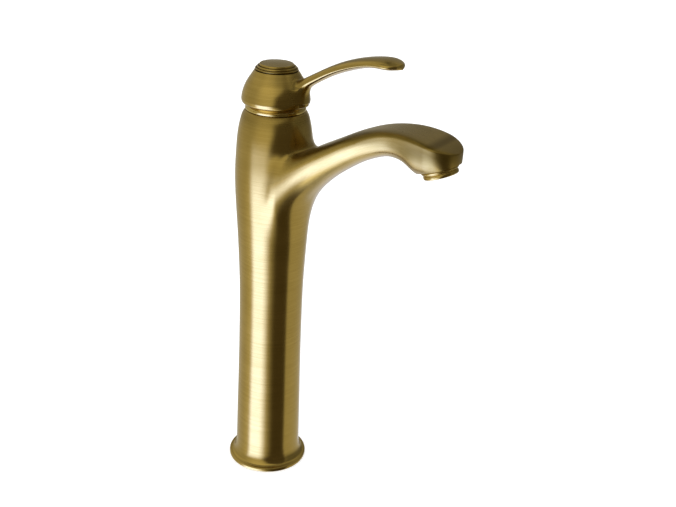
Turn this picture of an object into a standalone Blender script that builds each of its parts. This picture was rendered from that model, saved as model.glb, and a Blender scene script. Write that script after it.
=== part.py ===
"""Tall single-lever mixer tap for a vessel basin, as an assembly of separate pieces.

The origin is on the column's axis in the plane that stands on the deck. +Z is up,
and the spout and the lever both reach out along -Y. Sizes are in millimetres and
are turned into metres by MM where a mesh is made.
"""
import math

import bmesh
import bpy
import numpy as np
from mathutils import Matrix, Vector

MM = 0.001

# ---- driving dimensions, in millimetres ------------------------------------
GAP = 0.3                  # left between two pieces that touch

BODY_TOP = 269.4           # rim of the casting, under the neck ring
COLUMN_BORE = 19.3         # radius of the hollow for the hoses
SEAT_BLOCK_LOW = 214.0     # underside of the cartridge seat, where the hoses screw in
SEAT = 231.0               # top of the cartridge seat
CAVITY_RADIUS = 17.6       # takes a 35 mm cartridge
NUT_SEAT = 262.0
NUT_BORE = 19.2
FOOT_RADIUS = 28.6
PLUG_HEIGHT = 8.0
PLUG_RADIUS = 20.7
HOSE_HOLE = 6.5
HOSE_OFFSET = 10.5
STUD_HOLE = 2.5            # tapped M6
STUD_OFFSET = 13.2
INLET_PORT = (8.0, 6.0)    # sideways and backwards from the axis
INLET_RADIUS = 2.6
HOSE_SOCKET = 4.7          # tapped M10 for the hose ends
HOSE_SOCKET_TOP = 226.0
OUTLET_PORT = 8.5          # forwards from the axis
OUTLET_RADIUS = 3.6

# the stack inside the cartridge, each piece a gap above the one before
BASE_TOP = 236.4
FIXED_DISC_TOP = 240.6
MOVING_DISC_TOP = 244.6
DRIVER_TOP = 249.6
CARRIER_SHOULDER = 256.7   # turns under the housing's lip
HOUSING_TOP = 266.5
CARTRIDGE_RADIUS = 17.2
HOUSING_BORE = 15.6
LIP_BORE = 12.5
DISC_RADIUS = 11.5         # of the moving disc and its driver
PORT_RADIUS = 2.9
SEAL_RING = 4.4            # radius of a port's rubber ring

NOSE_CENTRE = 118.2        # plan centre of the spout's round end
NOSE_RADIUS = 17.1
OUTLET_REACH = 122.2       # centre of the spout's rim
OUTLET_HEIGHT = 255.9
OUTLET_TILT = math.radians(21.0)
AERATOR_BORE = 11.5
AERATOR_DEPTH = 11.0
WATERWAY = 4.6             # radius of the channel along the spout
WATERWAY_START = 222.4

PIVOT = 258.0              # height of the stem's cross pin
PIN_BORE = 1.8
SWING_RADIUS = 24.3        # hollow of the hub, centred on the pivot
BALL_DROP = 10.0           # the stem's ball lies this far below the pivot
BALL_RADIUS = 2.3
DISC_REST = 1.8            # the moving disc starts this far behind the axis
HUB_LOW = 273.2
HUB_TOP = 295.6
KEEL_CENTRE = 17.0         # the keel under the lever's root
KEEL_RADIUS = 7.6
KEEL_LOW = 275.2
KEEL_TOP = 287.0           # inside the lever
PADDLE_END = 82.0          # the lever's round tip starts here
PADDLE_LENGTH = 10.0
CAP_RADIUS = 14.1
CAP_CROWN = 70.8           # radius of the cap's domed top
STEM_HALF = 3.5
STEM_TOP = 291.2
BUSH_LOW = 282.6
BUSH_RADIUS = 6.5
SCREW_RADIUS = 2.0
SEGMENTS = 40


# ---- finishes ----------------------------------------------------------------
def finish(name, colour, roughness, metallic):
    material = bpy.data.materials.new(name)
    material.use_nodes = True
    shader = material.node_tree.nodes["Principled BSDF"]
    shader.inputs["Base Color"].default_value = (*colour, 1.0)
    shader.inputs["Roughness"].default_value = roughness
    shader.inputs["Metallic"].default_value = metallic
    material.diffuse_color = (*colour, 1.0)
    return material


FINISHES = {
    "antique_brass": ((0.43, 0.31, 0.12), 0.34, 1.0),
    "polished_brass": ((0.62, 0.45, 0.15), 0.18, 1.0),
    "raw_brass": ((0.72, 0.55, 0.26), 0.40, 1.0),
    "steel": ((0.60, 0.60, 0.62), 0.30, 1.0),
    "white_acetal": ((0.82, 0.82, 0.80), 0.45, 0.0),
    "grey_acetal": ((0.35, 0.36, 0.38), 0.45, 0.0),
    "alumina": ((0.90, 0.88, 0.84), 0.25, 0.0),
    "black_rubber": ((0.03, 0.03, 0.03), 0.70, 0.0),
    "red_acetal": ((0.62, 0.07, 0.05), 0.45, 0.0),
}


# ---- curves --------------------------------------------------------------------
def spline(knots):
    """A natural cubic spline through (x, y) knots, as a function of x."""
    x, y = (np.array(v, float) for v in zip(*knots))
    n = len(x)
    h = np.diff(x)
    slope = np.diff(y) / h
    a = np.zeros((n, n))
    b = np.zeros(n)
    a[0, 0] = a[-1, -1] = 1.0
    for i in range(1, n - 1):
        a[i, i - 1:i + 2] = h[i - 1], 2 * (h[i - 1] + h[i]), h[i]
        b[i] = 6 * (slope[i] - slope[i - 1])
    m = np.linalg.solve(a, b)

    def value(t):
        i = int(np.clip(np.searchsorted(x, t) - 1, 0, n - 2))
        u, v = x[i + 1] - t, t - x[i]
        cubic = (m[i] * u ** 3 + m[i + 1] * v ** 3) / (6 * h[i])
        line = (y[i] * u + y[i + 1] * v) / h[i]
        return float(cubic + line - (m[i] * u + m[i + 1] * v) * h[i] / 6)

    return value


def arc(centre, radius, start, end, steps):
    """Points on an arc in a profile's (radius, height) plane; angles in degrees."""
    angles = np.radians(np.linspace(start, end, steps))
    return [(centre[0] + radius * math.cos(t), centre[1] + radius * math.sin(t)) for t in angles]


# ---- meshes --------------------------------------------------------------------
def adopt(ob, parent):
    ob.parent = parent
    ob.matrix_parent_inverse = parent.matrix_world.inverted()


def new_object(name, bm, material, smooth_angle=35.0, parent=None):
    bmesh.ops.remove_doubles(bm, verts=bm.verts, dist=0.00001)
    bmesh.ops.recalc_face_normals(bm, faces=bm.faces)
    mesh = bpy.data.meshes.new(name)
    bm.to_mesh(mesh)
    bm.free()
    mesh.shade_smooth()
    mesh.set_sharp_from_angle(angle=math.radians(smooth_angle))
    ob = bpy.data.objects.new(name, mesh)
    bpy.context.scene.collection.objects.link(ob)
    if material:
        mesh.materials.append(MATERIALS[material])
    if parent:
        adopt(ob, parent)
    return ob


def turned(name, profile, material=None, segments=SEGMENTS, place=None, parent=None):
    """Spin a closed (radius, height) outline about the Z axis, then place it."""
    bm = bmesh.new()
    verts = [bm.verts.new((r * MM, 0.0, z * MM)) for r, z in profile]
    on_axis = [r < 1e-6 for r, z in profile]
    edges = []
    for i, vert in enumerate(verts):
        j = (i + 1) % len(verts)
        if not (on_axis[i] and on_axis[j]):
            edges.append(bm.edges.new((vert, verts[j])))
    bmesh.ops.spin(bm, geom=verts + edges, cent=(0, 0, 0), axis=(0, 0, 1), angle=2 * math.pi,
                   steps=segments, use_merge=True, use_duplicate=False)
    if place is not None:
        bm.transform(place)
    return new_object(name, bm, material, parent=parent)


def ring(name, inner, outer, low, high, material=None, **options):
    return turned(name, [(inner, low), (outer, low), (outer, high), (inner, high)], material, **options)


def disc(name, radius, low, high, material=None, **options):
    return turned(name, [(0, low), (radius, low), (radius, high), (0, high)], material, **options)


def hexagon(name, radius, low, high):
    return disc(name, radius, low, high, segments=6)


def o_ring(name, major, minor, height, material="black_rubber", place=None, parent=None, segments=24):
    section = arc((major, height), minor, 0, 300, 6)
    return turned(name, section, material, segments=segments, place=place, parent=parent)


def rod(name, radius, start, end, segments=24):
    """A plain cylinder between two points, in millimetres: a tool for cutting."""
    start, end = Vector(start), Vector(end)
    turn = (end - start).to_track_quat("Z", "Y").to_matrix().to_4x4()
    place = Matrix.Translation(start * MM) @ turn
    return disc(name, radius, 0.0, (end - start).length, segments=segments, place=place)


def block(name, low, high, material=None, parent=None):
    bm = bmesh.new()
    bmesh.ops.create_cube(bm, size=1.0)
    low, high = Vector(low) * MM, Vector(high) * MM
    for vert in bm.verts:
        vert.co = [low[i] if vert.co[i] < 0 else high[i] for i in range(3)]
    return new_object(name, bm, material, parent=parent)


def loft(name, loops, material=None, smooth_angle=35.0, parent=None):
    """Bridge closed loops of points (millimetres) one after the other and cap both ends."""
    bm = bmesh.new()
    rows = [[bm.verts.new(Vector(p) * MM) for p in loop] for loop in loops]
    count = len(rows[0])
    for low, high in zip(rows, rows[1:]):
        for i in range(count):
            j = (i + 1) % count
            bm.faces.new((low[i], low[j], high[j], high[i]))
    bm.faces.new(rows[0])
    bm.faces.new(rows[-1])
    return new_object(name, bm, material, smooth_angle, parent)


def combine(target, tool, operation):
    """Apply an exact Boolean to the target and throw the tool away."""
    modifier = target.modifiers.new(operation.lower(), "BOOLEAN")
    modifier.operation = operation
    modifier.solver = "EXACT"
    modifier.object = tool
    graph = bpy.context.evaluated_depsgraph_get()
    graph.update()
    result = bpy.data.meshes.new_from_object(target.evaluated_get(graph))
    target.modifiers.clear()
    bm = bmesh.new()
    bm.from_mesh(result)
    bmesh.ops.dissolve_degenerate(bm, edges=bm.edges, dist=0.000003)
    bmesh.ops.remove_doubles(bm, verts=bm.verts, dist=0.000003)
    bm.to_mesh(result)
    bm.free()
    target.data = result
    bpy.data.objects.remove(tool)
    return target


def cut(target, *tools):
    for tool in tools:
        combine(target, tool, "DIFFERENCE")
    return target


def add(target, *tools):
    for tool in tools:
        combine(target, tool, "UNION")
    return target


def drill_circle(target, count, pitch_radius, hole_radius):
    for i in range(count):
        angle = 2 * math.pi * (i + 0.5) / count
        x, y = pitch_radius * math.cos(angle), pitch_radius * math.sin(angle)
        cut(target, rod("hole", hole_radius, (x, y, -6), (x, y, 9), 8))


def reshade(ob, angle=30.0):
    ob.data.shade_smooth()
    ob.data.set_sharp_from_angle(angle=math.radians(angle))


def axis_empty(name, place):
    ob = bpy.data.objects.new(name, None)
    ob.location = Vector(place) * MM
    ob.empty_display_size = 0.02
    bpy.context.scene.collection.objects.link(ob)
    bpy.context.view_layer.update()
    return ob


# ---- the casting ----------------------------------------------------------------
column_radius = spline([(14, 23.35), (40, 23.1), (80, 22.5), (118, 22.3), (146, 22.6), (166, 23.4),
                        (186, 24.5), (206, 25.8), (228, 26.4), (244, 25.7), (256, 24.55), (263, 23.1),
                        (267, 21.7), (BODY_TOP - 0.6, 20.6)])
spout_top = spline([(8, 237), (22, 244.2), (30, 248.9), (40, 254.7), (50, 260.1), (62, 266.6),
                    (76, 273.0), (90, 276.4), (104, 277.1), (114, 276), (124, 273.5), (135.7, 269)])
spout_low = spline([(8, 197), (24, 201), (29, 206), (32, 213.6), (40, 225.2), (50, 234.4), (60, 242.1),
                    (70, 248.6), (80, 253.7), (88, 256.5), (96, 256.9), (103, 254.8), (109, 250.9),
                    (114, 249.5), (118, 249.5), (123, 250.2), (130, 251.1), (136, 252)])
spout_half = spline([(8, 21), (20, 21), (32, 19.6), (46, 17.2), (62, 15.6), (80, 14.8), (94, 15.2),
                     (107, 16.5), (NOSE_CENTRE, NOSE_RADIUS)])


def superellipse(half_width, low, high, middle, power_low, power_high, count=24):
    """A closed loop (across, height) that is rounder or squarer above and below its middle."""
    points = []
    for i in range(count):
        t = 2 * math.pi * i / count
        c, s = math.cos(t), math.sin(t)
        power, reach = (power_high, high - middle) if s >= 0 else (power_low, middle - low)
        across = half_width * math.copysign(abs(c) ** (2 / power), c)
        points.append((across, middle + reach * math.copysign(abs(s) ** (2 / power), s)))
    return points


def spout_section(reach):
    if reach < NOSE_CENTRE:
        half = spout_half(reach)
    else:
        half = math.sqrt(max(NOSE_RADIUS ** 2 - (reach - NOSE_CENTRE) ** 2, 0.04))
    head = np.clip((reach - 70) / 45, 0, 1)
    low, high = spout_low(reach), spout_top(reach)
    middle = low + (high - low) * (0.5 + 0.12 * head)
    loop = superellipse(half, low, high, middle, 2.1, 2.3 + 2.6 * head)
    return [(across, -reach, height) for across, height in loop]


def outlet_place():
    """Frame of the spout's outlet: its own Z points back up into the spout."""
    turn = Matrix.Rotation(-OUTLET_TILT, 4, "X")
    return Matrix.Translation(Vector((0, -OUTLET_REACH, OUTLET_HEIGHT)) * MM) @ turn


def column_outline():
    groove = [(24.2, 0), (24.2, 1.8), (26.8, 1.8), (26.8, 0)]
    lip = [(FOOT_RADIUS - 0.6, 0), (FOOT_RADIUS, 0.6), (FOOT_RADIUS, 1.9), (FOOT_RADIUS - 0.7, 2.9)]
    flare = [(23.5 + 4.2 * (1 - math.sin(t)) ** 1.2, 3.0 + 11.0 * (1 - math.cos(t)))
             for t in np.radians([0, 20, 40, 60, 75])]
    heights = np.concatenate([np.linspace(14, 200, 9), np.linspace(214, 256, 5),
                              np.linspace(261, 268.8, 5)])
    side = [(column_radius(z), z) for z in heights]
    return [(0, 0)] + groove + lip + flare[1:] + side + [(20.2, BODY_TOP), (0, BODY_TOP)]


def waterway_cutter():
    route = [(14, WATERWAY_START), (20, 223), (28, 226.5), (38, 235), (52, 246), (68, 256), (84, 264),
             (98, 266.6), (110, 266), (117, 264.5)]
    curve = bpy.data.curves.new("waterway", "CURVE")
    curve.dimensions = "3D"
    curve.bevel_depth = WATERWAY * MM
    curve.bevel_resolution = 2
    curve.use_fill_caps = True
    line = curve.splines.new("POLY")
    line.points.add(len(route) - 1)
    for point, (reach, height) in zip(line.points, route):
        point.co = (0, -reach * MM, height * MM, 1)
    guide = bpy.data.objects.new("waterway", curve)
    bpy.context.scene.collection.objects.link(guide)
    graph = bpy.context.evaluated_depsgraph_get()
    graph.update()
    mesh = bpy.data.meshes.new_from_object(guide.evaluated_get(graph))
    bpy.data.objects.remove(guide)
    bm = bmesh.new()
    bm.from_mesh(mesh)
    bpy.data.meshes.remove(mesh)
    return new_object("waterway", bm, None)


def make_body():
    body = turned("body_casting", column_outline(), "antique_brass")
    stations = list(np.linspace(8, 32, 4)) + list(np.linspace(38, NOSE_CENTRE - 6, 11))
    stations += [NOSE_CENTRE + NOSE_RADIUS * math.sin(t) for t in np.radians([0, 18, 35, 50, 63, 75, 86])]
    add(body, loft("spout", [spout_section(reach) for reach in stations]))
    cavity = turned("cavity", [(0, SEAT - 5), (CAVITY_RADIUS, SEAT - 5), (CAVITY_RADIUS, NUT_SEAT),
                               (NUT_BORE, NUT_SEAT), (NUT_BORE, BODY_TOP + 5), (0, BODY_TOP + 5)])
    hollow = turned("hollow", [(0, -5), (PLUG_RADIUS + GAP, -5), (PLUG_RADIUS + GAP, PLUG_HEIGHT),
                               (COLUMN_BORE, PLUG_HEIGHT), (COLUMN_BORE, SEAT + GAP), (0, SEAT + GAP)])
    cut(body, hollow, cavity)
    cut(body, disc("below_rim", 24, -14, 0, segments=24, place=outlet_place()))
    cut(body, disc("aerator_bore", AERATOR_BORE, -8, AERATOR_DEPTH, segments=40, place=outlet_place()))
    cut(body, waterway_cutter())
    reshade(body)


def make_cartridge_seat():
    """The block inside the column that the cartridge stands on and the hoses screw into."""
    seat = disc("cartridge_seat", COLUMN_BORE - GAP, SEAT_BLOCK_LOW, SEAT, "raw_brass", segments=32)
    port_x, port_y = INLET_PORT
    for side in (-1, 1):
        centre = (side * port_x, port_y)
        socket = (*centre, HOSE_SOCKET_TOP)
        cut(seat, rod("inlet", INLET_RADIUS, (*centre, HOSE_SOCKET_TOP - 2), (*centre, SEAT + 2), 12))
        cut(seat, rod("hose_socket", HOSE_SOCKET, (*centre, SEAT_BLOCK_LOW - 2), socket, 16))
    turn = (0, -OUTLET_PORT, WATERWAY_START)
    cut(seat, rod("outlet_cross", OUTLET_RADIUS, turn, (0, -COLUMN_BORE - 3, WATERWAY_START), 12))
    cut(seat, rod("outlet", OUTLET_RADIUS - 0.2, turn, (0, -OUTLET_PORT, SEAT + 2), 12))
    reshade(seat)


def make_base_plug():
    plug = disc("base_plug", PLUG_RADIUS, 0.0, PLUG_HEIGHT - GAP, "raw_brass", segments=28)
    for side in (-1, 1):
        hose, stud = (side * HOSE_OFFSET, 0), (0, side * STUD_OFFSET)
        cut(plug, rod("hose_hole", HOSE_HOLE, (*hose, -2), (*hose, PLUG_HEIGHT + 2), 16))
        cut(plug, rod("stud_hole", STUD_HOLE, (*stud, -2), (*stud, PLUG_HEIGHT + 2), 10))
    reshade(plug)


# ---- the cartridge -----------------------------------------------------------------
def ports(target, low, high):
    """Two inlet holes and one outlet hole through the base or the fixed disc."""
    x, y = INLET_PORT
    for centre in ((-x, y), (x, y), (0, -OUTLET_PORT)):
        cut(target, rod("port", PORT_RADIUS, (*centre, low - 1), (*centre, high + 1), 12))


def make_cartridge_fixed():
    x, y = INLET_PORT
    base = disc("cartridge_base", CARTRIDGE_RADIUS, SEAT + GAP, BASE_TOP, "white_acetal", segments=28)
    ports(base, SEAT, BASE_TOP)
    centres = {"seal_cold": (-x, y), "seal_hot": (x, y), "seal_outlet": (0, -OUTLET_PORT)}
    for name, centre in centres.items():
        place = Matrix.Translation((centre[0] * MM, centre[1] * MM, 0))
        groove = (SEAL_RING - 0.9, SEAL_RING + 0.9)
        cut(base, ring("seal_groove", *groove, SEAT, SEAT + 2.1, segments=18, place=place))
        o_ring(name, SEAL_RING, 0.6, SEAT + 1.1, place=place, segments=18)
    reshade(base)

    low = BASE_TOP + GAP
    fixed = disc("fixed_disc", HOUSING_BORE - 0.4, low, FIXED_DISC_TOP, "alumina", segments=28)
    ports(fixed, low, FIXED_DISC_TOP)
    reshade(fixed)

    lip = CARRIER_SHOULDER + GAP
    turned("cartridge_housing", [(LIP_BORE, lip), (HOUSING_BORE, lip), (HOUSING_BORE, low),
                                 (CARTRIDGE_RADIUS, low), (CARTRIDGE_RADIUS, NUT_SEAT), (14.6, NUT_SEAT),
                                 (14.6, HOUSING_TOP), (LIP_BORE, HOUSING_TOP)], "white_acetal", segments=32)
    ring("limit_ring", 12.6, 14.3, HOUSING_TOP + GAP, HOUSING_TOP + 1.5, "red_acetal", segments=28)


def make_neck():
    outer, top = NUT_BORE - GAP, 272.0
    nut = turned("retaining_nut", [(14.9, NUT_SEAT + GAP), (outer, NUT_SEAT + GAP), (outer, 269.0),
                                   (17.5, 269.0), (17.5, top), (14.9, top)], "raw_brass")
    slot_centre = Vector((0, 0, top + 0.3))
    for angle in np.radians([0, 60, 120]):
        reach = Vector((math.cos(angle), math.sin(angle), 0)) * 25
        cut(nut, rod("slot", 1.4, slot_centre - reach, slot_centre + reach, 12))
    reshade(nut)
    swing = SWING_RADIUS - 0.4
    start = math.degrees(math.acos(20.0 / swing))
    end = math.degrees(math.acos(16.6 / swing))
    dome = arc((0, PIVOT), swing, start, end, 4)
    low, step = BODY_TOP + GAP, top + 0.4
    foot = [(17.9, low), (19.9, low), (20.1, low + 0.2), (20.1, 270.9)]
    turned("dome_ring", foot + dome + [(15.2, 275.0), (15.2, step), (17.9, step)], "polished_brass",
           segments=32)


def make_carrier(parent):
    low, top = DRIVER_TOP + GAP, 268.0
    shoulder, neck, groove = HOUSING_BORE - GAP, LIP_BORE - GAP, LIP_BORE - 1.2
    carrier = turned("stem_carrier", [(0, low), (shoulder, low), (shoulder, CARRIER_SHOULDER),
                                      (neck, CARRIER_SHOULDER), (neck, 260.6), (groove, 260.6),
                                      (groove, 262.4), (neck, 262.4), (neck, top), (0, top)],
                     "grey_acetal", segments=32, parent=parent)
    slot_half = STEM_HALF + 0.4
    cut(carrier, block("stem_slot", (-slot_half, -8.2, low - 5), (slot_half, 8.4, top + 5)))
    cut(carrier, rod("pin_bore", PIN_BORE, (-20, 0, PIVOT), (20, 0, PIVOT), 16))
    reshade(carrier)
    pin_half = neck - 0.4
    pin = rod("stem_pin", PIN_BORE - GAP, (-pin_half, 0, PIVOT), (pin_half, 0, PIVOT), 16)
    pin.data.materials.append(MATERIALS["steel"])
    adopt(pin, parent)
    o_ring("carrier_o_ring", 11.85, 0.3, 261.5, parent=parent)


def make_discs(parent):
    options = {"segments": 28, "place": Matrix.Translation((0, DISC_REST * MM, 0)), "parent": parent}
    driver_low, moving_low = MOVING_DISC_TOP + GAP, FIXED_DISC_TOP + GAP
    driver = disc("disc_driver", DISC_RADIUS, driver_low, DRIVER_TOP, "grey_acetal", **options)
    cut(driver, rod("pocket", BALL_RADIUS + 0.6, (0, 0, driver_low + 0.6), (0, 0, DRIVER_TOP + 5), 20))
    moving = disc("moving_disc", DISC_RADIUS, moving_low, MOVING_DISC_TOP, "alumina", **options)
    cut(moving, disc("mixing_pocket", 8.0, moving_low - 2, moving_low + 2, place=options["place"],
                     segments=20))
    reshade(driver)
    reshade(moving)


# ---- the handle ----------------------------------------------------------------
hub_radius = spline([(277.0, 22.8), (280, 22.3), (284, 21.15), (288, 19.3), (292, 16.8), (HUB_TOP, 14.45)])
lever_top = spline([(6, 284), (16, 290.4), (26, 296.2), (35, 301.4), (45, 306.8), (60, 312.8),
                    (76, 316.3), (86, 316.3), (92, 314.5)])
lever_low = spline([(6, 280), (16, 283), (26, 288.4), (35, 294.1), (45, 299.7), (60, 305.8),
                    (76, 309.7), (86, 309.9), (92, 311.0)])
lever_half = spline([(6, 6), (16, 5.4), (26, 5.0), (38, 5.4), (54, 7.4), (70, 9.6), (PADDLE_END, 10.4)])


def lever_section(reach):
    half = lever_half(min(reach, PADDLE_END))
    if reach > PADDLE_END:
        half *= math.sqrt(max(1 - ((reach - PADDLE_END) / PADDLE_LENGTH) ** 2, 0.0005))
    low, high = lever_low(reach), lever_top(reach)
    loop = superellipse(half, low, high, low + 0.42 * (high - low), 2.6, 2.1, 20)
    return [(across, -reach, height) for across, height in loop]


def make_handle(parent):
    skirt = [(19.7, HUB_LOW), (21.2, 273.8), (22.3, 274.8), (22.7, 276.0)]
    side = [(hub_radius(z), z) for z in np.linspace(277.0, HUB_TOP, 9)]
    outline = [(0, HUB_LOW)] + skirt + side + [(0, HUB_TOP)]
    handle = turned("handle", outline, "antique_brass", parent=parent)
    keel_place = Matrix.Translation((0, -KEEL_CENTRE * MM, 0))
    add(handle, disc("keel", KEEL_RADIUS, KEEL_LOW, KEEL_TOP, segments=28, place=keel_place))
    stations = list(np.linspace(6, PADDLE_END, 14))
    stations += [PADDLE_END + PADDLE_LENGTH * math.sin(t) for t in np.radians([20, 40, 58, 73, 86])]
    add(handle, loft("lever", [lever_section(reach) for reach in stations]))
    swing = arc((0, PIVOT), SWING_RADIUS, -20, 88, 12)
    cut(handle, turned("hollow", [(0, 240)] + swing + [(0, PIVOT + SWING_RADIUS)]))
    cut(handle, rod("socket", BUSH_RADIUS + GAP, (0, 0, 270), (0, 0, STEM_TOP + GAP), 28))
    cut(handle, disc("cap_recess", 12.0, HUB_TOP - 2, HUB_TOP + 4))
    cut(handle, rod("screw_hole", SCREW_RADIUS + 0.4, (0, 0, 285), (0, 0, HUB_TOP + 1), 16))
    reshade(handle)


def make_stem(parent):
    low, ball_centre = (-STEM_HALF, -STEM_HALF, 251.5), PIVOT - BALL_DROP
    stem = block("control_stem", low, (STEM_HALF, STEM_HALF, STEM_TOP), "steel", parent)
    neck = rod("stem_neck", 1.7, (0, 0, ball_centre - 1), (0, 0, ball_centre + 5), 12)
    outline = [(0, ball_centre - BALL_RADIUS)] + arc((0, ball_centre), BALL_RADIUS, -70, 70, 8)
    add(stem, neck, turned("stem_ball", outline + [(0, ball_centre + BALL_RADIUS)], segments=16))
    cut(stem, rod("pin_hole", PIN_BORE, (-8, 0, PIVOT), (8, 0, PIVOT), 16))
    cut(stem, rod("tapping", SCREW_RADIUS + GAP, (0, 0, 281.5), (0, 0, STEM_TOP + 2), 16))
    reshade(stem)

    bush = disc("stem_bush", BUSH_RADIUS, BUSH_LOW, STEM_TOP, "white_acetal", segments=28, parent=parent)
    half = STEM_HALF + GAP
    cut(bush, block("bush_bore", (-half, -half, BUSH_LOW - 3), (half, half, STEM_TOP + 4)))
    reshade(bush)

    seat, head = HUB_TOP - 1.7, 4.2
    screw = turned("handle_screw", [(0, 283.0), (1.6, 283.0), (SCREW_RADIUS, 283.5), (SCREW_RADIUS, seat),
                                    (head, seat), (head, seat + 1.3), (head - 0.6, seat + 2.3),
                                    (0, seat + 2.3)], "steel", segments=20, parent=parent)
    cut(screw, hexagon("hex_socket", 1.6, seat + 0.7, seat + 3))
    reshade(screw)


def make_cap(parent):
    crown = arc((0, HUB_TOP - 66), CAP_CROWN, math.degrees(math.acos(10.6 / CAP_CROWN)), 89.9, 3)
    spigot = [(6.0, 293.9), (11.5, 293.9), (11.5, 294.3), (10.5, 294.3), (10.5, 295.5), (11.5, 295.5),
              (11.5, HUB_TOP + GAP), (13.8, HUB_TOP + GAP)]
    outer_bead = [(CAP_RADIUS, 296.2), (CAP_RADIUS, 296.9), (13.7, 297.3), (13.2, 297.0), (12.9, 296.8)]
    inner_bead = [(12.8, 298.2), (12.4, 298.6), (11.8, 298.3), (11.4, 298.1), (11.3, 299.4), (10.9, 299.9)]
    hollow = [(0, 300.4), (0, 297.4), (6.0, 297.4)]
    turned("handle_cap", spigot + outer_bead + inner_bead + crown[1:-1] + hollow, "antique_brass",
           segments=28, parent=parent)
    o_ring("cap_o_ring", 11.25, 0.42, 294.9, parent=parent, segments=28)


# ---- the aerator -----------------------------------------------------------------
def make_aerator():
    place = outlet_place()
    inner, outer, rim = AERATOR_BORE - 1.7, AERATOR_BORE - GAP, -4.9
    lip = [(inner, rim), (10.6, rim), (11.1, rim + 0.5), (11.1, rim + 2.1), (10.7, rim + 2.5)]
    flange = [(10.7, -1.8), (11.5, -1.5), (11.8, -1.2), (11.8, -GAP), (outer, -GAP)]
    turned("aerator_housing", lip + flange + [(outer, 8.0), (inner, 8.0)], "antique_brass", segments=28,
           place=place)
    outline = [(0, -3.6), (inner - GAP, -3.6), (inner - GAP, 3.0), (8.4, 4.0), (0, 4.0)]
    insert = turned("aerator_insert", outline, "grey_acetal", segments=24)
    drill_circle(insert, 8, 6.6, 1.5)
    outline = [(0, 4.3), (9.3, 4.3), (9.5, 4.5), (9.3, 4.9), (0, 6.6)]
    screen = turned("aerator_screen", outline, "steel", segments=24)
    drill_circle(screen, 6, 5.0, 1.2)
    for piece in (insert, screen):
        piece.data.transform(place)
        reshade(piece)
    ring("aerator_washer", 8.4, outer - 0.1, 8.3, 10.4, "black_rubber", segments=28, place=place)


for old in list(bpy.data.objects):
    bpy.data.objects.remove(old)
MATERIALS = {name: finish(name, *values) for name, values in FINISHES.items()}

swivel_axis = axis_empty("swivel_axis", (0, 0, PIVOT))
lift_axis = axis_empty("lift_axis", (0, 0, PIVOT))
disc_slide = axis_empty("disc_slide", (0, DISC_REST, 243))
adopt(lift_axis, swivel_axis)
adopt(disc_slide, swivel_axis)
bpy.context.view_layer.update()

make_body()
make_cartridge_seat()
make_base_plug()
ring("base_gasket", 24.5, 26.5, 0.0, 1.5, "black_rubber")
make_cartridge_fixed()
make_neck()
make_carrier(swivel_axis)
make_discs(disc_slide)
make_handle(lift_axis)
make_stem(lift_axis)
make_cap(lift_axis)
make_aerator()
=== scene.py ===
import bmesh
import bpy
import numpy as np
from mathutils import Matrix, Vector


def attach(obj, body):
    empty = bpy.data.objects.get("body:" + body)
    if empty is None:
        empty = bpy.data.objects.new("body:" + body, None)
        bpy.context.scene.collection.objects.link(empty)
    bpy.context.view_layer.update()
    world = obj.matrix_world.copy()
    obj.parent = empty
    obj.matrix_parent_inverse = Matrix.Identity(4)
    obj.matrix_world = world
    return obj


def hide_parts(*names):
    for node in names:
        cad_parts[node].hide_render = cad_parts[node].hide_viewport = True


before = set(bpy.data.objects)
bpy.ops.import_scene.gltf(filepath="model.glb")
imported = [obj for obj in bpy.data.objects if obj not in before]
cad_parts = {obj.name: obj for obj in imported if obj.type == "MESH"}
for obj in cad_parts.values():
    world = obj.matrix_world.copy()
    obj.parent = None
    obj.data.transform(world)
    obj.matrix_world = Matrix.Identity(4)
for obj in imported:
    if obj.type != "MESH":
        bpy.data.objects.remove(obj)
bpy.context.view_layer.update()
mm = 0.001


# curves and grids, all sizes in millimetres until the mesh is made

def spline(knots):
    # natural cubic spline through (x, y) knots, worked out for a whole array at once
    x, y = np.array(knots, float).T
    h = np.diff(x)
    slope = np.diff(y) / h
    bend = np.diag(np.r_[1, 2 * (h[:-1] + h[1:]), 1])
    bend = bend + np.diag(np.r_[h[:-1], 0], -1) + np.diag(np.r_[0, h[1:]], 1)
    m = np.linalg.solve(bend, np.r_[0, 6 * np.diff(slope), 0])

    def value(t):
        t = np.asarray(t, float)
        i = np.clip(np.searchsorted(x, t) - 1, 0, len(h) - 1)
        u, v = x[i + 1] - t, t - x[i]
        return ((m[i] * u ** 3 + m[i + 1] * v ** 3) / (6 * h[i]) + (y[i] / h[i] - m[i] * h[i] / 6) * u
                + (y[i + 1] / h[i] - m[i + 1] * h[i] / 6) * v)

    return value


def roundedPath(corners, steps=6):
    # a (radius, height) polyline whose corners (r, z, fillet) become arcs: a quadratic curve from one
    # tangent point to the other, so no corner is left knife sharp
    points = np.array([c[:2] for c in corners], float)
    path = []
    for i, corner in enumerate(corners):
        fillet = corner[2] if len(corner) > 2 else 0
        if fillet == 0:
            path.append(points[i][None])
            continue
        before, here, after = points[i - 1], points[i], points[(i + 1) % len(points)]
        start = here + (before - here) * min(fillet / np.linalg.norm(before - here), 0.5)
        end = here + (after - here) * min(fillet / np.linalg.norm(after - here), 0.5)
        t = np.linspace(0, 1, steps)[:, None]
        path.append((1 - t) ** 2 * start + 2 * t * (1 - t) * here + t ** 2 * end)
    return np.concatenate(path)


def turnedGrid(profile, count=192):
    # ring i, spoke j: (r cos a, r sin a, z), with a the spoke's angle
    profile = np.asarray(profile, float)
    angle = np.linspace(0, 2 * np.pi, count, endpoint=False)
    r, z = profile[:, :1], profile[:, 1:]
    return np.stack([r * np.cos(angle), r * np.sin(angle), z + 0 * angle], axis=-1)


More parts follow.
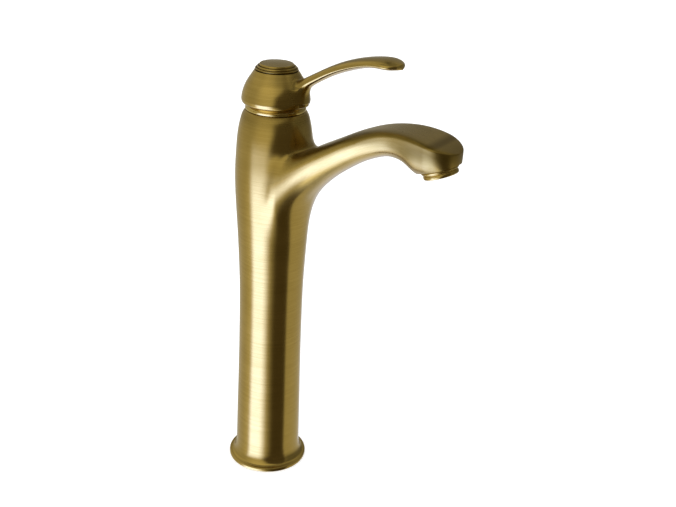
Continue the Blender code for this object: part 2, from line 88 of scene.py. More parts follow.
def pieceFromGrid(name, grid, hoop=False, place=None):
    # rings join round; the two end rings are closed by a fan, or by each other on a hoop
    grid = np.asarray(grid, float)
    caps = []
    if not hoop:
        caps = [grid[0].mean(axis=0), grid[-1].mean(axis=0)]
        keep = [i for i in range(len(grid)) if np.ptp(grid[i], axis=0).max() > 1e-5]
        grid = grid[keep]
    rows, cols = grid.shape[:2]
    index = np.arange(rows * cols).reshape(rows, cols)
    below = index if hoop else index[:-1]
    above = np.roll(index, -1, axis=0) if hoop else index[1:]
    quads = np.stack([below, np.roll(below, -1, axis=1), np.roll(above, -1, axis=1), above], axis=-1)
    faces = quads.reshape(-1, 4).tolist()
    points = grid.reshape(-1, 3)
    if not hoop:
        first, last = len(points), len(points) + 1
        points = np.concatenate([points, np.array(caps)])
        a, b = index[0], np.roll(index[0], -1)
        faces += np.stack([b, a, np.full(cols, first)], axis=-1).tolist()
        a, b = index[-1], np.roll(index[-1], -1)
        faces += np.stack([a, b, np.full(cols, last)], axis=-1).tolist()
    mesh = bpy.data.meshes.new(name)
    mesh.from_pydata((points * mm).tolist(), [], faces)
    if place is not None:
        mesh.transform(place)
    bm = bmesh.new()
    bm.from_mesh(mesh)
    bmesh.ops.recalc_face_normals(bm, faces=bm.faces)
    bm.to_mesh(mesh)
    bm.free()
    piece = bpy.data.objects.new(name, mesh)
    bpy.context.scene.collection.objects.link(piece)
    smooth(piece)
    return piece


def smooth(piece, angle=32):
    piece.data.shade_smooth()
    piece.data.set_sharp_from_angle(angle=np.radians(angle))


def combine(piece, tool, operation):
    # union or difference with a closed tool, applied at once
    modifier = piece.modifiers.new(operation, "BOOLEAN")
    modifier.operation = operation
    modifier.solver = "MANIFOLD"
    modifier.object = tool
    graph = bpy.context.evaluated_depsgraph_get()
    graph.update()
    mesh = bpy.data.meshes.new_from_object(piece.evaluated_get(graph))
    piece.modifiers.clear()
    piece.data = mesh
    mesh.name = piece.name
    bpy.data.objects.remove(tool)
    smooth(piece)


def readPoints(mesh):
    flat = np.empty(len(mesh.vertices) * 3)
    mesh.vertices.foreach_get("co", flat)
    return flat.reshape(-1, 3) / mm


def smoothMin(a, b, reach):
    # the smaller of two distances, rounded off where they differ by less than reach
    h = np.clip(reach - np.abs(a - b), 0, None) / reach
    return np.minimum(a, b) - h ** 3 * reach / 6


def gradient(field, points, step=0.02):
    shifts = np.eye(3) * step
    return np.stack([(field(points + s) - field(points - s)) / (2 * step) for s in shifts], axis=-1)


def settle(piece, field, near, rounds=14):
    # points near a seam are evened out along the surface, then moved along the field's gradient until
    # the field is zero there: p - f(p) g / (g . g)
    mesh = piece.data
    points = readPoints(mesh)
    ends = np.empty(len(mesh.edges) * 2, int)
    mesh.edges.foreach_get("vertices", ends)
    ends = ends.reshape(-1, 2)
    both = np.concatenate([ends, ends[:, ::-1]])
    valence = np.bincount(both[:, 0], minlength=len(points))[:, None]
    chosen = near(points)
    for i in range(rounds):
        if 0 < i < rounds - 3:
            sums = [np.bincount(both[:, 0], points[both[:, 1], k], len(points)) for k in range(3)]
            points[chosen] += 0.5 * (np.stack(sums, axis=-1) / valence - points)[chosen]
        here = points[chosen]
        g = gradient(field, here)
        f = field(here)
        points[chosen] = here - g * (f / np.maximum((g * g).sum(axis=1), 1e-6))[:, None]
    mesh.vertices.foreach_set("co", (points * mm).ravel())
    mesh.update()
    smooth(piece)


def mark(piece, name, values):
    # a number at each point, for the materials to read
    attribute = piece.data.attributes.new(name, "FLOAT", "POINT")
    attribute.data.foreach_set("value", np.asarray(values, np.float32))


def markGrain(piece, middle, share):
    # the way brush lines run on a curved arm: (x, height above its middle line, reach)
    p = readPoints(piece.data)
    reach = np.clip(-p[:, 1], 0, None)
    grain = np.stack([p[:, 0], p[:, 2] - middle(reach), reach], axis=-1) * mm
    attribute = piece.data.attributes.new("grain", "FLOAT_VECTOR", "POINT")
    attribute.data.foreach_set("vector", grain.astype(np.float32).ravel())
    mark(piece, "grainShare", np.clip(share(p), 0, 1))


def sectionPoints(half, low, high, middle, powerLow, powerHigh, count):
    # a ring (across, height) around each station: a circle stretched to half and to low or high, with
    # |c|^p + |s|^p = 1, rounder or squarer above and below its middle
    angle = np.linspace(0, 2 * np.pi, count, endpoint=False)
    c, s = np.cos(angle), np.sin(angle)
    half, low, high, middle, powerLow, powerHigh = (np.asarray(v)[:, None] for v in
                                                   (half, low, high, middle, powerLow, powerHigh))
    power = np.where(s >= 0, powerHigh, powerLow)
    reach = np.where(s >= 0, high - middle, middle - low)
    n = (np.abs(c) ** power + np.abs(s) ** power) ** (1 / power)
    return half * c / n, middle + reach * s / n


def sectionDistance(across, height, half, low, high, middle, powerLow, powerHigh):
    # distance from the section's outline along the ray from its middle
    up = height >= middle
    power = np.where(up, powerHigh, powerLow)
    reach = np.where(up, high - middle, middle - low)
    v = (np.abs(across / half) ** power + np.abs((height - middle) / reach) ** power) ** (1 / power)
    return np.hypot(across, height - middle) * (1 - 1 / np.maximum(v, 1e-4))


# the casting: column, foot and spout

casting = {
    "column": [(14, 23.35), (40, 23.1), (80, 22.5), (118, 22.3), (146, 22.6), (166, 23.4), (186, 24.5),
               (206, 25.8), (228, 26.4), (244, 25.7), (256, 24.55), (263, 23.1), (267, 21.7),
               (268.8, 20.6)],
    "columnStart": 14,
    "columnEnd": 268.8,
    "top": 269.4,
    "foot": [(24.2, 0), (24.2, 1.8), (26.8, 1.8), (26.8, 0), (28.6, 0, 0.8), (28.6, 2.6, 0.9), (27.6, 3.1)],
    "flareInner": 23.5,
    "flareWidth": 4.1,
    "flareFrom": 3.1,
    "flareHeight": 10.9,
    "spoutTop": [(8, 236.3), (22, 243.6), (30, 248.4), (40, 254.1), (50, 259.5), (62, 266.0), (76, 272.1),
                 (90, 275.4), (104, 276.1), (114, 274.9), (124, 272.4), (135.7, 268.0)],
    "spoutLow": [(8, 199), (24, 210.5), (32, 217.8), (40, 225.2), (50, 234.2), (60, 241.9), (70, 248.6),
                 (80, 253.6), (88, 256.3), (96, 256.4), (103, 253.8), (109, 250.0), (114, 249.0),
                 (118, 249.1), (123, 250.0), (130, 251.0), (136, 252)],
    "spoutHalf": [(8, 21), (20, 21), (32, 19.6), (46, 17.2), (62, 15.6), (80, 14.8), (94, 15.2),
                  (107, 16.5), (118.2, 17.1)],
    "noseCentre": 118.2,
    "noseRadius": 17.1,
    "outletReach": 122.2,
    "outletHeight": 255.9,
    "outletTilt": np.radians(21),
    "aeratorBore": 11.5,
    "boreDepth": 11,
    "blendAbove": 6.0,
    "blendBelow": 26.0,
    "hollow": [(0, -5), (21, -5), (21, 8), (19.3, 8), (19.3, 231.3), (17.6, 231.3), (17.6, 262),
               (19.2, 262), (19.2, 275), (0, 275)],
    # painted darkening on the casting: partly patina, partly painted reflection on the spout's sides and
    # painted shade in the crotch and under the neck ring
    "ridgePatinaAndReflection": 0.78,
    "headPatinaAndReflection": 0.36,
    "crotchPatinaAndShade": 0.4,
    "neckPatinaAndShade": 0.35,
}
columnRadius = spline(casting["column"])
spoutTop, spoutLow, spoutHalf = (spline(casting[k]) for k in ("spoutTop", "spoutLow", "spoutHalf"))
outletPlace = (Matrix.Translation(Vector((0, -casting["outletReach"], casting["outletHeight"])) * mm)
               @ Matrix.Rotation(-casting["outletTilt"], 4, "X"))


def spoutSection(reach):
    centre, radius = casting["noseCentre"], casting["noseRadius"]
    round_ = np.sqrt(np.clip(radius ** 2 - (reach - centre) ** 2, 0.01, None))
    half = np.where(reach < centre, spoutHalf(np.minimum(reach, centre)), round_)
    head = np.clip((reach - 70) / 45, 0, 1)
    low, high = spoutLow(reach), spoutTop(reach)
    middle = low + (high - low) * (0.64 + 0.16 * head)
    return half, low, high, middle, 2.05 + 0 * head, 2.9 + 4.6 * head


def spoutDistance(p):
    # behind y = -18 the spout counts as further and further away, so the fillet runs out inside the column
    reach = np.clip(-p[:, 1], 4, casting["noseCentre"])
    behind = (np.clip(18 + p[:, 1], 0, None) / 3) ** 2
    return sectionDistance(p[:, 0], p[:, 2], *spoutSection(reach)) + behind


def columnDistance(p):
    height = np.clip(p[:, 2], casting["columnStart"], casting["columnEnd"])
    return np.hypot(p[:, 0], p[:, 1]) - columnRadius(height)


def castingBlend(p):
    # a wide fillet under the spout, a tight one in the crotch above it
    middle = spoutSection(np.clip(-p[:, 1], 4, 60))[3]
    share = np.clip((middle + 8 - p[:, 2]) / 26, 0, 1)
    share = share * share * (3 - 2 * share)
    above = casting["blendAbove"] + 10 * np.clip(np.abs(p[:, 0]) / 16, 0, 1) ** 2
    return above + (casting["blendBelow"] - above) * share


def castingField(p):
    return smoothMin(columnDistance(p), 0.85 * spoutDistance(p), castingBlend(p))


def castingPatinaShadeAndReflection(p):
    # painted darker under the spout's upper edge and on the head's sides, partly patina and partly a painted
    # reflection, and in the crotch and under the neck ring, partly patina and partly painted shade
    reach = np.clip(-p[:, 1], 8, casting["noseCentre"])
    low, high, middle = spoutSection(reach)[1:4]
    upper = (p[:, 2] - middle) / (high - middle)
    ridge = np.exp(-((upper - 0.72) / 0.27) ** 2) * np.clip((-p[:, 1] - 20) / 14, 0, 1)
    head = np.clip((reach - 90) / 18, 0, 1) * np.clip((0.9 - upper) / 0.2, 0, 1)
    seam = np.exp(-((np.abs(columnDistance(p)) + np.abs(spoutDistance(p))) / 8) ** 2) * (p[:, 2] > middle)
    neck = np.exp(-((267 - p[:, 2]) / 5) ** 2)
    side = np.maximum(casting["ridgePatinaAndReflection"] * ridge, casting["headPatinaAndReflection"] * head)
    return np.clip(side + casting["crotchPatinaAndShade"] * seam + casting["neckPatinaAndShade"] * neck, 0, 0.85)


def makeCasting():
    # a turned column: foot, a flare of radius inner + width (1 - sin t)^1.2 and height from + h (1 - cos t),
    # and the column's spline; the spout is a run of stretched rings along its reach
    top = casting["top"]
    lip = roundedPath(casting["foot"])
    t = np.radians(np.linspace(4, 80, 26))
    flareRadius = casting["flareInner"] + casting["flareWidth"] * (1 - np.sin(t)) ** 1.2
    flare = np.stack([flareRadius, casting["flareFrom"] + casting["flareHeight"] * (1 - np.cos(t))], axis=-1)
    z = np.concatenate([np.linspace(casting["columnStart"], 190, 120), np.linspace(191.2, 262, 62),
                        np.linspace(262.5, casting["columnEnd"], 14)])
    side = np.stack([columnRadius(z), z], axis=-1)
    outline = np.concatenate([[(0, 0)], lip, flare, side, [(20.2, top - 0.15), (19.8, top), (0, top)]])
    piece = pieceFromGrid("columnAndSpout", turnedGrid(outline, 192))

    nose = casting["noseCentre"] + casting["noseRadius"] * np.sin(np.radians(np.linspace(0, 89.3, 40)))
    reach = np.concatenate([np.linspace(9, 40, 28), np.linspace(41, casting["noseCentre"] - 0.8, 78), nose])
    across, height = sectionPoints(*spoutSection(reach), 160)
    spout = np.stack([across, np.broadcast_to(-reach[:, None], across.shape), height], axis=-1)
    combine(piece, pieceFromGrid("spout", spout), "UNION")

    def nearSeam(p):
        far = np.maximum(np.abs(columnDistance(p)), np.abs(spoutDistance(p)))
        return (far < castingBlend(p) + 2) & (p[:, 1] < 0) & (p[:, 2] > 150) & (p[:, 2] < 266)

    settle(piece, castingField, nearSeam)

    def cutRound(profile, place=None, count=160):
        combine(piece, pieceFromGrid("cutter", turnedGrid(profile, count), place=place), "DIFFERENCE")

    cutRound([(0, -14), (26, -14), (26, 0), (0, 0)], outletPlace)
    cutRound([(0, -8), (casting["aeratorBore"], -8), (casting["aeratorBore"], casting["boreDepth"]),
              (0, casting["boreDepth"])], outletPlace)
    cutRound(casting["hollow"])
    markGrain(piece, lambda s: spoutSection(np.clip(s, 8, casting["noseCentre"]))[3],
              lambda p: (columnDistance(p) - 1) / 7 * (p[:, 1] < -18))
    # the casting's painted darkening: patina with painted reflection and painted shade
    mark(piece, "patina", castingPatinaShadeAndReflection(readPoints(piece.data)))
    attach(piece, "root")
    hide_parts("body_casting")
    return piece


# the handle: domed hub, keel and paddle lever

lever = {
    "hub": [(277.0, 22.8), (280, 22.3), (284, 21.15), (288, 19.3), (292, 16.8), (295.6, 14.45)],
    "top": [(6, 284), (16, 290.4), (26, 296.2), (35, 301.4), (45, 306.8), (60, 312.8), (76, 316.3),
            (86, 316.3), (92, 314.5)],
    "low": [(6, 280), (16, 283), (26, 288.4), (35, 294.1), (45, 299.7), (60, 305.8), (76, 309.7),
            (86, 309.9), (92, 311.0)],
    "half": [(6, 6), (16, 5.4), (26, 5.0), (38, 5.4), (54, 7.4), (70, 9.6), (82, 10.4)],
    "paddleEnd": 82.0,
    "paddleLength": 10.0,
    "keelCentre": 17.0,
    "keelRadius": 7.6,
    "keelFoot": 275.0,
    "keelTop": 287,
    "skirt": [(19.7, 273.2), (21.3, 273.6, 0.5), (22.55, 274.9, 0.9), (22.78, 276.6)],
    "bore": [(0, 270), (6.8, 270), (6.8, 291.5), (2.4, 291.5), (2.4, 293.6), (12, 293.6), (12, 300),
             (0, 300)],
    # painted darkening where the lever joins the hub and keel: partly patina, partly painted shade in the
    # crease
    "rootPatinaAndShade": 0.4,
    "swing": 24.3,
    "pivot": 258.0,
    "blendAbove": 3.5,
    "blendBelow": 8.0,
    "keelBlend": 5.0,
}
hubRadius, leverTop, leverLow, leverHalf = (spline(lever[k]) for k in ("hub", "top", "low", "half"))


def leverSection(reach):
    end, length = lever["paddleEnd"], lever["paddleLength"]
    half = leverHalf(np.minimum(reach, end))
    half = half * np.sqrt(np.clip(1 - (np.clip(reach - end, 0, None) / length) ** 2, 0.0004, 1))
    low, high = leverLow(reach), leverTop(reach)
    same = 0 * reach
    return half, low, high, low + 0.40 * (high - low), 1.75 + same, 2.3 + same


def leverDistance(p):
    return sectionDistance(p[:, 0], p[:, 2], *leverSection(np.clip(-p[:, 1], 4, lever["paddleEnd"])))


def hubDistance(p):
    return 0.8 * (np.hypot(p[:, 0], p[:, 1]) - hubRadius(np.clip(p[:, 2], 277, 296)))


def keelDistance(p):
    # an upright round post that stops inside the lever
    side = np.hypot(p[:, 0], p[:, 1] + lever["keelCentre"]) - lever["keelRadius"]
    low = leverLow(np.clip(-p[:, 1], 6, 40))
    return np.maximum(side, 0.8 * (p[:, 2] - low - 1.5))


def leverBlend(p):
    middle = leverSection(np.clip(-p[:, 1], 6, 60))[3]
    share = np.clip((middle + 1 - p[:, 2]) / 5, 0, 1)
    return lever["blendAbove"] + (lever["blendBelow"] - lever["blendAbove"]) * share


def handleField(p):
    keel = smoothMin(keelDistance(p), hubDistance(p), lever["keelBlend"])
    return smoothMin(keel, leverDistance(p), leverBlend(p))


def makeHandle():
    z = np.linspace(277, 295.6, 56)
    skirt = roundedPath(lever["skirt"])
    hub = np.concatenate([[(0, skirt[0, 1])], skirt, np.stack([hubRadius(z), z], axis=-1), [(0, z[-1])]])
    piece = pieceFromGrid("hubAndLever", turnedGrid(hub, 192))
    radius, foot, keelTop = lever["keelRadius"], lever["keelFoot"], lever["keelTop"]
    edge = roundedPath([(radius - 0.6, foot, 0.4), (radius, foot + 0.8, 0.5)])
    post = np.stack([np.full(22, radius), np.linspace(276.6, keelTop, 22)], axis=-1)
    keel = np.concatenate([[(0, foot)], edge, post, [(0, keelTop)]])
    shift = Matrix.Translation((0, -lever["keelCentre"] * mm, 0))
    combine(piece, pieceFromGrid("keel", turnedGrid(keel, 96), place=shift), "UNION")
    tip = lever["paddleEnd"] + lever["paddleLength"] * np.sin(np.radians(np.linspace(3, 88.5, 30)))
    reach = np.concatenate([np.linspace(7, lever["paddleEnd"], 96), tip])
    across, height = sectionPoints(*leverSection(reach), 96)
    blade = np.stack([across, np.broadcast_to(-reach[:, None], across.shape), height], axis=-1)
    combine(piece, pieceFromGrid("blade", blade), "UNION")

    def nearSeams(p):
        a, b, c = np.abs(hubDistance(p)), np.abs(leverDistance(p)), np.abs(keelDistance(p))
        close = (np.maximum(a, b) < 9) | (np.maximum(a, c) < 6) | (np.maximum(b, c) < 9)
        close = close & (p[:, 2] > 277.2) & (p[:, 2] < 303) & (p[:, 1] < -6)
        return close & (np.hypot(p[:, 0], p[:, 1]) > 15.6)

    settle(piece, handleField, nearSeams)
    swing = np.radians(np.linspace(-20, 89.9, 40))
    reach, pivot = lever["swing"], lever["pivot"]
    hollow = np.stack([reach * np.cos(swing), pivot + reach * np.sin(swing)], axis=-1)
    hollow = np.concatenate([[(0, 240)], hollow, [(0, pivot + reach)]])
    combine(piece, pieceFromGrid("cutter", turnedGrid(hollow, 128)), "DIFFERENCE")
    combine(piece, pieceFromGrid("cutter", turnedGrid(lever["bore"], 128)), "DIFFERENCE")
    markGrain(piece, lambda s: leverSection(np.clip(s, 6, lever["paddleEnd"]))[3],
              lambda p: (hubDistance(p) - 1) / 4 * (p[:, 1] < -16))
    p = readPoints(piece.data)
    root = np.hypot(hubDistance(p), np.minimum(np.abs(keelDistance(p)), np.abs(leverDistance(p))))
    # darker where the lever meets the hub and keel: patina with painted shade
    mark(piece, "patina", lever["rootPatinaAndShade"] * np.exp(-(root / 5) ** 2) * (p[:, 1] < -8))
    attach(piece, "handle_assembly")
    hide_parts("handle")
    return piece


# the cap, the neck ring and the aerator

cap = {
    "steps": [(6.0, 293.9), (11.5, 293.9, 0.2), (11.5, 295.9), (13.8, 295.9, 0.2), (14.2, 296.6, 0.5),
              (13.75, 297.35, 0.5), (13.1, 296.95, 0.25), (12.85, 296.8, 0.1), (12.95, 297.8, 0.5),
              (12.5, 298.65, 0.5), (11.8, 298.25, 0.25), (11.4, 298.05, 0.1), (11.5, 299.2, 0.6),
              (10.9, 300.0, 0.6), (9.9, 299.9)],
    "crown": 300.4,
    "crownRadius": 9.9,
    "recess": [(0, 297.4), (6.0, 297.4)],
    "grooves": [(12.95, 296.9, 0.75), (11.45, 298.15, 0.75), (13.9, 295.9, 1.0)],
}


def makeCap():
    outline = roundedPath(cap["steps"])
    r = np.linspace(9.4, 0, 12)
    dome = np.stack([r, cap["crown"] - 0.5 * (r / cap["crownRadius"]) ** 2], axis=-1)
    grid = turnedGrid(np.concatenate([cap["recess"], outline, dome]), 192)
    piece = pieceFromGrid("capRings", grid)
    p = readPoints(piece.data)
    r, z = np.hypot(p[:, 0], p[:, 1]), p[:, 2]
    grooves = [np.hypot(r - radius, z - height) / width for radius, height, width in cap["grooves"]]
    # the grooves between the rings are painted darker
    mark(piece, "patina", np.exp(-np.min(grooves, axis=0) ** 2))
    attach(piece, "handle_assembly")
    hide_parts("handle_cap")
    return piece


neckRing = {
    "skirt": [(17.9, 269.7), (20.15, 269.7, 0.4), (20.15, 271.0)],
    "domeRadius": 23.9,
    "domeOuter": 20.0,
    "domeInner": 16.6,
    "back": [(15.2, 275.0), (15.2, 272.4), (17.9, 272.4)],
}


def makeNeckRing():
    # its dome is an arc about the lever's pivot, so that the hub clears it as it lifts
    radius = neckRing["domeRadius"]
    ends = np.arccos(neckRing["domeOuter"] / radius), np.arccos(neckRing["domeInner"] / radius)
    angle = np.linspace(*ends, 14)
    dome = np.stack([radius * np.cos(angle), lever["pivot"] + radius * np.sin(angle)], axis=-1)
    outline = np.concatenate([roundedPath(neckRing["skirt"]), dome, neckRing["back"]])
    piece = pieceFromGrid("neckRing", turnedGrid(outline, 192), hoop=True)
    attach(piece, "root")
    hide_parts("dome_ring")
    return piece


# (radius, distance along the outlet's axis, fillet)
aeratorShell = [(9.8, -5.0, 0.3), (10.7, -5.0, 0.4), (11.15, -4.3, 0.5), (11.1, -2.8, 0.3),
                (10.7, -2.3, 0.2), (10.75, -1.75, 0.2), (11.75, -1.55, 0.3), (11.85, -0.6, 0.3),
                (11.6, -0.3, 0.1), (11.2, -0.3), (11.2, 8.0), (9.8, 8.0)]


def makeAerator():
    outline = roundedPath(aeratorShell)
    piece = pieceFromGrid("aeratorShell", turnedGrid(outline, 160), hoop=True, place=outletPlace)
    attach(piece, "root")
    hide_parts("aerator_housing")
    return piece


castingPiece = makeCasting()
print("casting", len(castingPiece.data.polygons))
handlePiece = makeHandle()
print("handle", len(handlePiece.data.polygons))
capPiece, ringPiece, aeratorPiece = makeCap(), makeNeckRing(), makeAerator()
print("small turned pieces made")


# shader nodes

class Value:
    # one socket of a node tree; an expression on these adds its Math nodes
    def __init__(self, tree, socket):
        self.tree, self.socket = tree, socket

    def math(self, operation, *others):
        return addNode(self.tree, "Math", {"operation": operation}, dict(enumerate([self, *others])))

    def __add__(self, other):
        return self.math("ADD", other)

    __radd__ = __add__

    def __sub__(self, other):
        return self.math("SUBTRACT", other)

    def __rsub__(self, other):
        return addNode(self.tree, "Math", {"operation": "SUBTRACT"}, {0: other, 1: self})

    def __mul__(self, other):
        return self.math("MULTIPLY", other)

    __rmul__ = __mul__

    def __truediv__(self, other):
        return self.math("DIVIDE", other)


def addNode(tree, kind, settings=None, inputs=None, output=0):
    # settings first, then the sockets' values or links; a ramp's stops are (place, colour) pairs
    node = tree.nodes.new("ShaderNode" + kind)
    for name, value in (settings or {}).items():
        if name != "stops":
            setattr(node, name, value)
            continue
        ramp = node.color_ramp
        while len(ramp.elements) < len(value):
            ramp.elements.new(1)
        for element, (place, colour) in zip(ramp.elements, value):
            element.position, element.color = place, (*colour, 1)
    for name, value in (inputs or {}).items():
        if isinstance(value, Value):
            tree.links.new(value.socket, node.inputs[name])
        else:
            node.inputs[name].default_value = value
    return None if output is None else Value(tree, node.outputs[output])


def fade(value, start, end):
    # 0 before start, 1 after end, with soft ends
    ends = {"Value": value, "From Min": start, "From Max": end}
    return addNode(value.tree, "MapRange", {"interpolation_type": "SMOOTHSTEP"}, ends)


def band(value, low, high, soft):
    # 1 between low and high, with edges soft wide
    return fade(value, low - soft / 2, low + soft / 2) * (1 - fade(value, high - soft / 2, high + soft / 2))


def mixColour(share, first, second):
    settings = {"data_type": "RGBA"}
    return addNode(share.tree, "Mix", settings, {0: share, 6: first, 7: second}, output=2)


# finishes

finishes = {
    "antiqueBrass": {"dark": (0.435, 0.295, 0.068), "pale": (0.52, 0.36, 0.095), "satin": 0.2,
                     "brush": 0.3, "lacquer": 0.1},
    "polishedBrass": {"dark": (0.56, 0.41, 0.11), "pale": (0.66, 0.49, 0.16),
                      "satin": 0.17, "brush": 0.25, "lacquer": 0.1},
    "rawBrass": {"dark": (0.62, 0.46, 0.20), "pale": (0.76, 0.60, 0.30),
                 "satin": 0.34, "brush": 0.8, "lacquer": 0.0},
}
# the dark colour mixed in by the darkening mark: patina, painted shade and painted reflection
patinaAndShadeColour = (0.10, 0.060, 0.002)
plainFinishes = {
    "steel": {"dark": (0.50, 0.50, 0.52), "pale": (0.66, 0.66, 0.67),
              "rough": 0.28, "metal": 1.0, "grain": 900},
    "whiteAcetal": {"dark": (0.76, 0.76, 0.73), "pale": (0.84, 0.84, 0.82),
                    "rough": 0.42, "metal": 0.0, "grain": 500},
    "greyAcetal": {"dark": (0.24, 0.25, 0.26), "pale": (0.33, 0.34, 0.36),
                   "rough": 0.42, "metal": 0.0, "grain": 500},
    "redAcetal": {"dark": (0.50, 0.05, 0.035), "pale": (0.64, 0.09, 0.06),
                  "rough": 0.42, "metal": 0.0, "grain": 500},
    "alumina": {"dark": (0.84, 0.81, 0.76), "pale": (0.92, 0.90, 0.87),
                "rough": 0.16, "metal": 0.0, "grain": 1800},
    "blackRubber": {"dark": (0.018, 0.018, 0.018), "pale": (0.038, 0.037, 0.036),
                    "rough": 0.68, "metal": 0.0, "grain": 1400},
}
nodeFinishes = {
    "rawBrass": ["cartridge_seat", "base_plug", "retaining_nut"],
    "steel": ["stem_pin", "control_stem", "handle_screw", "aerator_screen"],
    "whiteAcetal": ["cartridge_base", "cartridge_housing", "stem_bush"],
    "greyAcetal": ["stem_carrier", "disc_driver", "aerator_insert"],
    "redAcetal": ["limit_ring"],
    "alumina": ["fixed_disc", "moving_disc"],
    "blackRubber": ["base_gasket", "seal_cold", "seal_hot", "seal_outlet", "carrier_o_ring", "cap_o_ring",
                    "aerator_washer"],
}


def newMaterial(name):
    material = bpy.data.materials.new(name)
    material.use_nodes = True
    tree = material.node_tree
    return material, tree, tree.nodes["Principled BSDF"]


def feed(tree, shader, values):
    for name, value in values.items():
        if isinstance(value, Value):
            tree.links.new(value.socket, shader.inputs[name])
        else:
            shader.inputs[name].default_value = value


def noise(tree, place, stretch=(1, 1, 1), scale=1.0, detail=3.0):
    vector = addNode(tree, "Mapping", None, {"Vector": place, "Scale": stretch})
    inputs = {"Vector": vector, "Scale": scale, "Detail": detail, "Roughness": 0.65}
    return addNode(tree, "TexNoise", None, inputs)


def makeBrass(name, dark, pale, satin, brush, lacquer):
    # a satin metal: brush lines run round the turned pieces and along the arms, the tone is faintly cloudy,
    # the recesses and some bands are painted darker (patina, painted shade and painted reflection) and a
    # clear lacquer lies over it all
    material, tree, shader = newMaterial(name)
    place = addNode(tree, "TexCoord", output="Object")
    grain = addNode(tree, "Attribute", {"attribute_name": "grain"}, output="Vector")
    share = addNode(tree, "Attribute", {"attribute_name": "grainShare"}, output="Fac")
    patina = addNode(tree, "Attribute", {"attribute_name": "patina"}, output="Fac")
    fine, broad = (noise(tree, place, (0.014, 0.014, 1), scale) for scale in (1900, 650))
    fineAlong, broadAlong = (noise(tree, grain, (1, 1, 0.014), scale) for scale in (1900, 650))
    fine = fine + (fineAlong - fine) * share
    broad = broad + (broadAlong - broad) * share
    cloud = noise(tree, place, scale=42, detail=4)
    tone = fade(0.5 * fine + 0.15 * broad + 0.35 * cloud, 0.36, 0.64)
    colour = mixColour(tone, (*dark, 1), (*pale, 1))
    # the darkening mark darkens the colour: patina, painted shade in creases and under rings, painted
    # reflection on the spout's sides
    colour = mixColour(patina * 0.92, colour, (*patinaAndShadeColour, 1))
    height = 0.9 * fine + 0.1 * broad
    normal = addNode(tree, "Bump", None, {"Strength": brush, "Distance": 0.000004, "Height": height})
    rough = satin + 0.04 * (fine - 0.5) + 0.08 * (cloud - 0.5) + 0.25 * patina
    feed(tree, shader, {"Base Color": colour, "Metallic": 1.0, "Roughness": rough, "Normal": normal,
                        "Coat Weight": lacquer, "Coat Roughness": 0.18})
    return material


def makePlain(name, dark, pale, rough, metal, grain):
    # moulded, pressed or fired: a fine grain, a slow change of tone and a trace of surface
    material, tree, shader = newMaterial(name)
    place = addNode(tree, "TexCoord", output="Object")
    small, slow = noise(tree, place, scale=grain), noise(tree, place, scale=grain / 12)
    colour = mixColour(fade(0.5 * small + 0.5 * slow, 0.35, 0.65), (*dark, 1), (*pale, 1))
    normal = addNode(tree, "Bump", None, {"Strength": 0.3, "Distance": 0.00002, "Height": small})
    feed(tree, shader, {"Base Color": colour, "Metallic": metal, "Roughness": rough + 0.12 * (slow - 0.5),
                        "Normal": normal})
    return material


def dress(piece, material):
    piece.data.materials.clear()
    piece.data.materials.append(material)


materials = {name: makeBrass(name, **finish) for name, finish in finishes.items()}
materials.update({name: makePlain(name, **finish) for name, finish in plainFinishes.items()})
for piece in (castingPiece, handlePiece, capPiece, aeratorPiece):
    dress(piece, materials["antiqueBrass"])
dress(ringPiece, materials["polishedBrass"])
for name, members in nodeFinishes.items():
    for member in members:
        dress(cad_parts[member], materials[name])
print("materials made", len(materials))


# studio

camera = {
    "place": (-0.52716, -0.36912, 0.45307),
    "angles": (65.99916, -2.80575, -57.85528),
    "lens": 53.4525,
}
studio = {
    "heading": 215.0,    # where azimuth 0 of the reflected room lies, towards the camera
    "room": (0.62, 0.61, 0.52),
    "gloom": (0.085, 0.07, 0.045),
    "window": (2.5, 3.2, 8.0),
    "sweep": (0.95, 1.02, 1.3),
    "wallRight": (57, 64),    # each pair is where an edge starts and ends, in degrees
    "wallTop": (30, 62),
    "boxRight": (-36, -6),
    "boxTop": (-30, -6),
    "boxBottom": (-92, -56),
    "boxLeft": -71,
    "boxSpread": 36,
    "floorEdge": -46,
    "floorDip": 26,
}


def makeCamera():
    data = bpy.data.cameras.new("camera")
    data.lens = camera["lens"]
    data.sensor_width = 36
    data.clip_start = 0.01
    eye = bpy.data.objects.new("camera", data)
    eye.location = camera["place"]
    eye.rotation_euler = np.radians(camera["angles"])
    bpy.context.scene.collection.objects.link(eye)
    bpy.context.scene.camera = eye


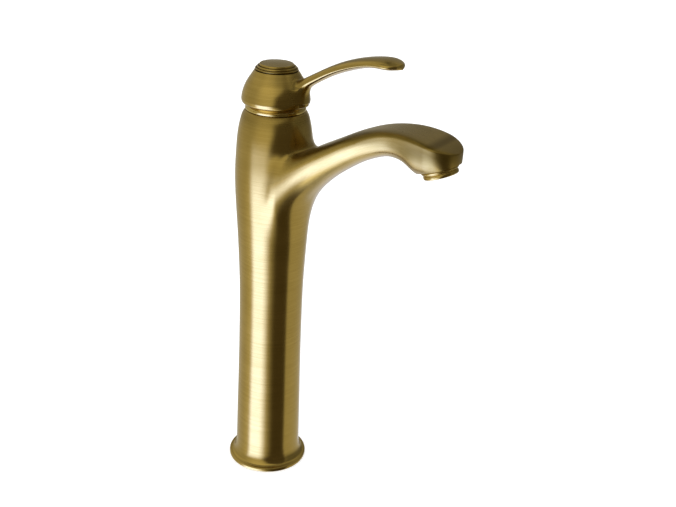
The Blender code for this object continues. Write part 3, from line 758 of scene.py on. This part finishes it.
def makeStudio():
    # the room is seen only in reflections: a pale floor, one wide softbox to the left of the camera and a
    # dark wall to its right, all soft edged. Azimuth runs to the right of the camera, in degrees.
    world = bpy.data.worlds.new("studio")
    bpy.context.scene.world = world
    world.use_nodes = True
    tree = world.node_tree
    tree.nodes.clear()
    way = addNode(tree, "TexCoord", output="Generated")
    x, y, z = (addNode(tree, "SeparateXYZ", None, {0: way}, output=i) for i in range(3))
    turn = y.math("ARCTAN2", x) * (180 / np.pi) - studio["heading"] + 540
    azimuth = turn.math("MODULO", 360) - 180
    height = z.math("ARCSINE") * (180 / np.pi)

    # the room itself: brighter to the left of the camera and lower down, dim overhead, on the upper right
    # and behind
    raised = fade(height, -30, -5)
    lit = fade(azimuth - 28 * raised, -110, -70) * (1 - fade(azimuth, -25, 15))
    upperLeft = band(height, 22, 52, 14) * (1 - fade(azimuth, 0, 30))
    level = 0.98 - 0.17 * fade(height, -35, 5) + 0.40 * lit + 0.15 * upperLeft
    level = level * (1 - 0.55 * fade(height, 40, 62) * fade(azimuth, -120, -80))
    upperRight = fade(azimuth, 52, 70) * (1 - fade(azimuth, 140, 165)) * band(height, -20, 40, 20)
    level = level * (1 - 0.66 * upperRight)
    behind = fade(azimuth.math("ABSOLUTE"), 138, 168)
    level = level * (1 - 0.5 * behind * fade(height, -8, 14))

    # the dark wall: its left edge is soft low down, crisper and further right higher up
    start = -20 - 6 * fade(height, -34, -12) + 12 * fade(height, -12, 8) + 36 * fade(height, 15, 42)
    soft = 40 - 20 * fade(height, -34, -12)
    wall = fade((azimuth - start) / soft, 0, 1)
    wall = wall * (1 - fade(azimuth, *studio["wallRight"])) * (1 - fade(height, *studio["wallTop"]))

    # the softbox, wider towards the floor, and its pool of light on the floor
    left = studio["boxLeft"] - studio["boxSpread"] * (1 - fade(height, -66, -30))
    box = fade(azimuth - left, -8, 9) * (1 - fade(azimuth, *studio["boxRight"]))
    box = box * (1 - fade(height, *studio["boxTop"])) * fade(height, *studio["boxBottom"])

    # the floor's far edge lies lower in front of the dark wall
    dip = fade(azimuth, -50, 60) * (1 - fade(azimuth, 95, 140))
    edge = studio["floorEdge"] - studio["floorDip"] * dip
    floorShare = fade(edge - height, -7, 7)
    floorLevel = 1.05 - 0.42 * fade(azimuth, 20, 70) * (1 - fade(azimuth, 120, 160))
    floorLevel = floorLevel + 0.75 * band(azimuth, -122, 5, 20) * fade(height, -88, -62)
    far = fade(azimuth, 135, 170) * (1 - fade(height, -32, -4))

    def tinted(name, amount):
        return addNode(tree, "VectorMath", {"operation": "SCALE"}, {0: studio[name], "Scale": amount})

    colour = mixColour(wall, tinted("room", level), (*studio["gloom"], 1))
    colour = mixColour(floorShare, colour, tinted("sweep", floorLevel))
    colour = mixColour(far * 0.6, colour, (*studio["sweep"], 1))
    colour = mixColour(box, colour, (*studio["window"], 1))
    reflected = addNode(tree, "LightPath", output="Is Glossy Ray")
    colour = mixColour(reflected, (1.0, 1.0, 1.0, 1), colour)
    background = addNode(tree, "Background", None, {"Color": colour})
    addNode(tree, "OutputWorld", None, {"Surface": background}, output=None)


makeCamera()
makeStudio()
bpy.context.scene.view_settings.view_transform = "Standard"
print("camera and studio made")

floorMesh = bpy.data.meshes.new("floor")
floorMesh.from_pydata([(-4, -4, 0), (4, -4, 0), (4, 4, 0), (-4, 4, 0)], [], [(0, 1, 2, 3)])
floor = bpy.data.objects.new("floor", floorMesh)
bpy.context.scene.collection.objects.link(floor)
floor.visible_glossy = False
floorMaterial, floorTree, floorShader = newMaterial("floor")
feed(floorTree, floorShader, {"Base Color": (1, 1, 1, 1), "Roughness": 0.9, "Emission Color": (1, 1, 1, 1),
                              "Emission Strength": 0.35})
floorMesh.materials.append(floorMaterial)
